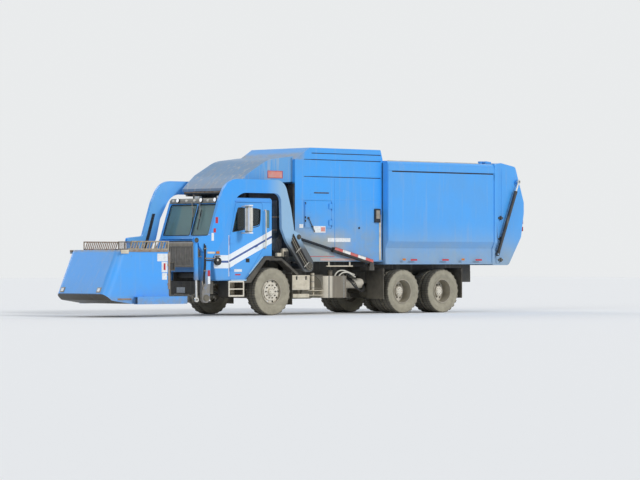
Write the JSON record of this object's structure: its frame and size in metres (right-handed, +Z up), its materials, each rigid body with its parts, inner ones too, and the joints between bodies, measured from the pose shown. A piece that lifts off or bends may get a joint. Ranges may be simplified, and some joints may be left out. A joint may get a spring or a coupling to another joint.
{
  "type": "garbage truck",
  "caption": "Front-loading garbage truck with lift arms over a cab-over front, an open can with a side arm on its forks, packer hopper, and a top-hinged tailgate.",
  "frame": {"origin": "on the ground, in the middle of the overall length and width", "axes": "+X forward, +Y to the truck's left, +Z up"},
  "size_m": [13.14, 2.91, 3.905],
  "materials": {
    "paint_blue": "gloss, dusty low down",
    "paint_faded": "weathered satin",
    "paint_cream": "dusty satin",
    "chassis_black": "satin",
    "cast_grey": "rough",
    "rod_chrome": "polished",
    "tyre": "matt, dusty",
    "rubber_black": "matt",
    "flare_grey": "matt",
    "grille_grey": "satin",
    "trim_black": "matt",
    "seat_cloth": "woven",
    "glass_tint": "clear",
    "lamp_lens": "clear lens",
    "lamp_red": "lens",
    "mirror_white": "gloss"
  },
  "bodies": {
    "chassis": {"frame": "chassis_black", "front_axle": "cast_grey", "drive_line": "cast_grey", "rear_suspension": "cast_grey", "engine": "cast_grey", "bumper": "chassis_black", "cab_shell": "paint_blue", "cab_glass": "glass_tint", "cab_seats": "seat_cloth", "dashboard": "trim_black", "grille": "grille_grey", "lamps": "lamp_lens", "fenders": "flare_grey", "cab_steps": "paint_cream", "intake_stack": "trim_black", "side_tanks": "paint_cream", "mud_flaps": "rubber_black", "cab_guard": "paint_faded", "hopper": "paint_blue", "main_body": "paint_blue"},
    "lift_arms": {"lift_arms": "paint_blue"},
    "lift_barrels": {"lift_cylinder_barrels": "chassis_black"},
    "lift_rods": {"lift_cylinder_rods": "rod_chrome"},
    "forks": {"forks": "chassis_black", "can_shell": "paint_blue", "can_fence": "paint_cream", "side_arm_rail": "cast_grey"},
    "fork_barrels": {"fork_cylinder_barrels": "paint_blue"},
    "fork_rods": {"fork_cylinder_rods": "rod_chrome"},
    "side_beam": {"side_arm_beam": "chassis_black"},
    "side_boom": {"side_arm_boom": "chassis_black"},
    "gripper_rear": {"gripper_finger_rear": "chassis_black"},
    "gripper_front": {"gripper_finger_front": "chassis_black"},
    "tailgate": {"tailgate": "paint_blue", "tail_lamps": "lamp_red"},
    "tailgate_barrels": {"tailgate_cylinder_barrels": "chassis_black"},
    "tailgate_rods": {"tailgate_cylinder_rods": "rod_chrome"},
    "top_door": {"top_door": "paint_faded"},
    "packer": {"packer_blade": "cast_grey"},
    "side_door": {"hopper_side_door": "paint_blue"},
    "knuckle_left": {"knuckle_left": "cast_grey"},
    "front_wheel_left": {"front_tyre_left": "tyre", "front_rim_left": "paint_cream"},
    "rear_wheels_1_left": {"rear_tyres_1_left": "tyre", "rear_rims_1_left": "paint_cream"},
    "rear_wheels_2_left": {"rear_tyres_2_left": "tyre", "rear_rims_2_left": "paint_cream"},
    "door_left": {"cab_door_left": "paint_blue", "door_glass_left": "glass_tint", "mirror_left": "mirror_white"},
    "knuckle_right": {"knuckle_right": "cast_grey"},
    "front_wheel_right": {"front_tyre_right": "tyre", "front_rim_right": "paint_cream"},
    "rear_wheels_1_right": {"rear_tyres_1_right": "tyre", "rear_rims_1_right": "paint_cream"},
    "rear_wheels_2_right": {"rear_tyres_2_right": "tyre", "rear_rims_2_right": "paint_cream"},
    "door_right": {"cab_door_right": "paint_blue", "door_glass_right": "glass_tint", "mirror_right": "mirror_white"}
  },
  "joints": [
    {"name": "steer_left", "type": "hinge", "parent": "chassis", "child": "knuckle_left", "pos_m": [1.93, 0.94, 0.55], "axis": [0, 0, 1], "range_deg": [-35, 35]},
    {"name": "steer_right", "type": "hinge", "parent": "chassis", "child": "knuckle_right", "pos_m": [1.93, -0.94, 0.55], "axis": [0, 0, 1], "range_deg": [-35, 35]},
    {"name": "front_wheel_left_spin", "type": "hinge", "parent": "knuckle_left", "child": "front_wheel_left", "pos_m": [1.93, 1.065, 0.55], "axis": [0, 1, 0], "continuous": true},
    {"name": "rear_wheels_1_left_spin", "type": "hinge", "parent": "chassis", "child": "rear_wheels_1_left", "pos_m": [-2.25, 0.92, 0.525], "axis": [0, 1, 0], "continuous": true},
    {"name": "rear_wheels_2_left_spin", "type": "hinge", "parent": "chassis", "child": "rear_wheels_2_left", "pos_m": [-3.59, 0.92, 0.525], "axis": [0, 1, 0], "continuous": true},
    {"name": "door_left_swing", "type": "hinge", "parent": "chassis", "child": "door_left", "pos_m": [3.12, 1.115, 1.7], "axis": [0, 0, -1], "range_deg": [0, 70]},
    {"name": "front_wheel_right_spin", "type": "hinge", "parent": "knuckle_right", "child": "front_wheel_right", "pos_m": [1.93, -1.065, 0.55], "axis": [0, 1, 0], "continuous": true},
    {"name": "rear_wheels_1_right_spin", "type": "hinge", "parent": "chassis", "child": "rear_wheels_1_right", "pos_m": [-2.25, -0.92, 0.525], "axis": [0, 1, 0], "continuous": true},
    {"name": "rear_wheels_2_right_spin", "type": "hinge", "parent": "chassis", "child": "rear_wheels_2_right", "pos_m": [-3.59, -0.92, 0.525], "axis": [0, 1, 0], "continuous": true},
    {"name": "door_right_swing", "type": "hinge", "parent": "chassis", "child": "door_right", "pos_m": [3.12, -1.115, 1.7], "axis": [0, 0, 1], "range_deg": [0, 70]},
    {"name": "arms_lift", "type": "hinge", "parent": "chassis", "child": "lift_arms", "pos_m": [0.83, 0, 1.13], "axis": [0, -1, 0], "range_deg": [-2, 90]},
    {"name": "lift_barrels_swing", "type": "hinge", "parent": "chassis", "child": "lift_barrels", "pos_m": [-1.27, 0, 1.22], "axis": [0, -1, 0], "range_deg": [-2, 2]},
    {"name": "lift_rods_slide", "type": "slide", "parent": "lift_barrels", "child": "lift_rods", "axis": [0.9715, 0, 0.2369], "range_m": [-1.06, 0.03]},
    {"name": "forks_tilt", "type": "hinge", "parent": "lift_arms", "child": "forks", "pos_m": [3.95, 0, 0.42], "axis": [0, -1, 0], "range_deg": [-2, 50]},
    {"name": "fork_barrels_swing", "type": "hinge", "parent": "lift_arms", "child": "fork_barrels", "pos_m": [4.23, 0, 1.72], "axis": [0, -1, 0], "range_deg": [-4, 1]},
    {"name": "fork_rods_slide", "type": "slide", "parent": "fork_barrels", "child": "fork_rods", "axis": [-0.0224, 0, -0.9997], "range_m": [-0.205, 0.012]},
    {"name": "side_beam_slide", "type": "slide", "parent": "forks", "child": "side_beam", "axis": [0, 1, 0], "range_m": [-1.2, 0]},
    {"name": "side_boom_lift", "type": "hinge", "parent": "side_beam", "child": "side_boom", "pos_m": [4.64, -0.975, 1.13], "axis": [1, 0, 0], "range_deg": [-130, 0]},
    {"name": "gripper_front_close", "type": "hinge", "parent": "side_boom", "child": "gripper_front", "pos_m": [5.54, -1.05, 0.76], "axis": [0, 0, 1], "range_deg": [-80, 0]},
    {"name": "gripper_rear_close", "type": "hinge", "parent": "side_boom", "child": "gripper_rear", "pos_m": [5.22, -1.05, 0.76], "axis": [0, 0, 1], "range_deg": [0, 80]},
    {"name": "tailgate_lift", "type": "hinge", "parent": "chassis", "child": "tailgate", "pos_m": [-5.41, 0, 3.705], "axis": [0, 1, 0], "range_deg": [0, 85]},
    {"name": "tailgate_barrels_swing", "type": "hinge", "parent": "chassis", "child": "tailgate_barrels", "pos_m": [-5.55, 0, 1.42], "axis": [0, 1, 0], "range_deg": [0, 16]},
    {"name": "tailgate_rods_slide", "type": "slide", "parent": "tailgate_barrels", "child": "tailgate_rods", "axis": [-0.3828, 0, 0.9238], "range_m": [0, 1.2]},
    {"name": "top_door_slide", "type": "slide", "parent": "chassis", "child": "top_door", "axis": [-1, 0, 0], "range_m": [0, 2.25]},
    {"name": "packer_slide", "type": "slide", "parent": "chassis", "child": "packer", "axis": [-1, 0, 0], "range_m": [0, 1.9]},
    {"name": "side_door_swing", "type": "hinge", "parent": "chassis", "child": "side_door", "pos_m": [-0.08, 1.056, 2.3], "axis": [0, 0, -1], "range_deg": [-100, 0]}
  ],
  "couplings": [
    {"joint": "steer_right", "follows": "steer_left", "ratio": 1},
    {"joint": "lift_barrels_swing", "follows": "arms_lift", "ratio": 0.01},
    {"joint": "lift_rods_slide", "follows": "arms_lift", "m_per_rad": -0.67},
    {"joint": "fork_barrels_swing", "follows": "forks_tilt", "ratio": -0.0638},
    {"joint": "fork_rods_slide", "follows": "forks_tilt", "m_per_rad": -0.2322},
    {"joint": "gripper_rear_close", "follows": "gripper_front_close", "ratio": -1},
    {"joint": "tailgate_barrels_swing", "follows": "tailgate_lift", "ratio": 0.1768},
    {"joint": "tailgate_rods_slide", "follows": "tailgate_lift", "m_per_rad": 0.8074}
  ]
}
